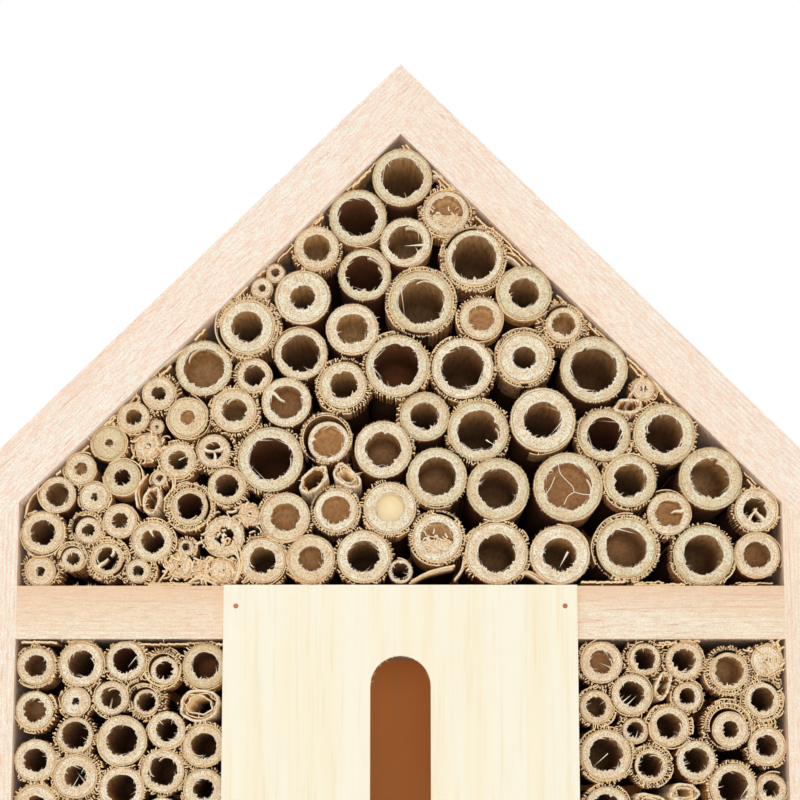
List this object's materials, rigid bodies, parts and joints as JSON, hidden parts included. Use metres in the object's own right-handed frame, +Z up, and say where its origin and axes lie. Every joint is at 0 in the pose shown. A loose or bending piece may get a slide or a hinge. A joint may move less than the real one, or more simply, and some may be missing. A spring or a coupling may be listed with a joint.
{
  "type": "insect hotel",
  "caption": "Gabled wooden insect hotel: reed tubes under the roof and in side bays, a slotted butterfly panel, pine cones behind mesh and drilled logs below.",
  "frame": {"origin": "centre of the object's box on the ground under the floor board", "axes": "+Z up, -Y towards the front with the slotted panel, +X to the right seen from the front"},
  "size_m": [0.31, 0.1046, 0.4802],
  "materials": {
    "roof_wood": "sawn untreated fir, pale with pink streaks",
    "board_wood": "sawn untreated fir, fuzzy sawn edges",
    "panel_plywood": "smooth pale plywood, grain upright",
    "back_plywood": "plain poplar plywood",
    "attic_reed": "dry cut bamboo and reed, ragged sawn ends",
    "bay_reed": "dry cut reed, ragged sawn ends",
    "crushed_reed": "squashed dry reed with split walls",
    "pine_cone": "dry open pine cone scales",
    "log_wood": "sawn log ends with drilled holes and rough bark",
    "nail_steel": "dull nail heads with a trace of rust",
    "zinc_steel": "bright zinc plating",
    "mesh_wire": "galvanised wire"
  },
  "bodies": {
    "root": {"roof_board_left": "roof_wood", "roof_board_right": "roof_wood", "side_wall_left": "board_wood", "side_wall_right": "board_wood", "upper_shelf": "board_wood", "lower_shelf": "board_wood", "floor_board": "board_wood", "upper_divider_left": "board_wood", "upper_divider_right": "board_wood", "lower_divider_left": "board_wood", "lower_divider_right": "board_wood", "back_panel": "back_plywood", "butterfly_panel": "panel_plywood", "panel_nails": "nail_steel", "roof_nails": "nail_steel", "wall_nails_left": "nail_steel", "wall_nails_right": "nail_steel", "divider_nails": "nail_steel", "back_panel_nails": "nail_steel", "hanger_plate": "zinc_steel", "hanger_screws": "zinc_steel", "wire_mesh_left": "mesh_wire", "wire_mesh_right": "mesh_wire", "mesh_staples_left": "mesh_wire", "mesh_staples_right": "mesh_wire", "pine_cone_1": "pine_cone", "pine_cone_2": "pine_cone", "pine_cone_3": "pine_cone", "pine_cone_4": "pine_cone", "pine_cone_5": "pine_cone", "pine_cone_6": "pine_cone", "pine_cone_7": "pine_cone", "pine_cone_8": "pine_cone", "pine_cone_9": "pine_cone", "pine_cone_10": "pine_cone", "pine_cone_11": "pine_cone", "pine_cone_12": "pine_cone", "drilled_log_1": "log_wood", "drilled_log_2": "log_wood", "drilled_log_3": "log_wood", "attic_reeds_1": "attic_reed", "attic_reeds_2": "attic_reed", "attic_reeds_3": "attic_reed", "attic_reeds_4": "attic_reed", "attic_reeds_5": "attic_reed", "attic_reeds_6": "attic_reed", "attic_reeds_7": "attic_reed", "attic_reeds_8": "attic_reed", "left_bay_reeds_1": "bay_reed", "left_bay_reeds_2": "bay_reed", "left_bay_reeds_3": "bay_reed", "left_bay_reeds_4": "bay_reed", "left_bay_reeds_5": "bay_reed", "right_bay_reeds_1": "bay_reed", "right_bay_reeds_2": "bay_reed", "right_bay_reeds_3": "bay_reed", "right_bay_reeds_4": "bay_reed", "right_bay_reeds_5": "bay_reed", "crushed_reeds": "crushed_reed"}
  },
  "joints": []
}
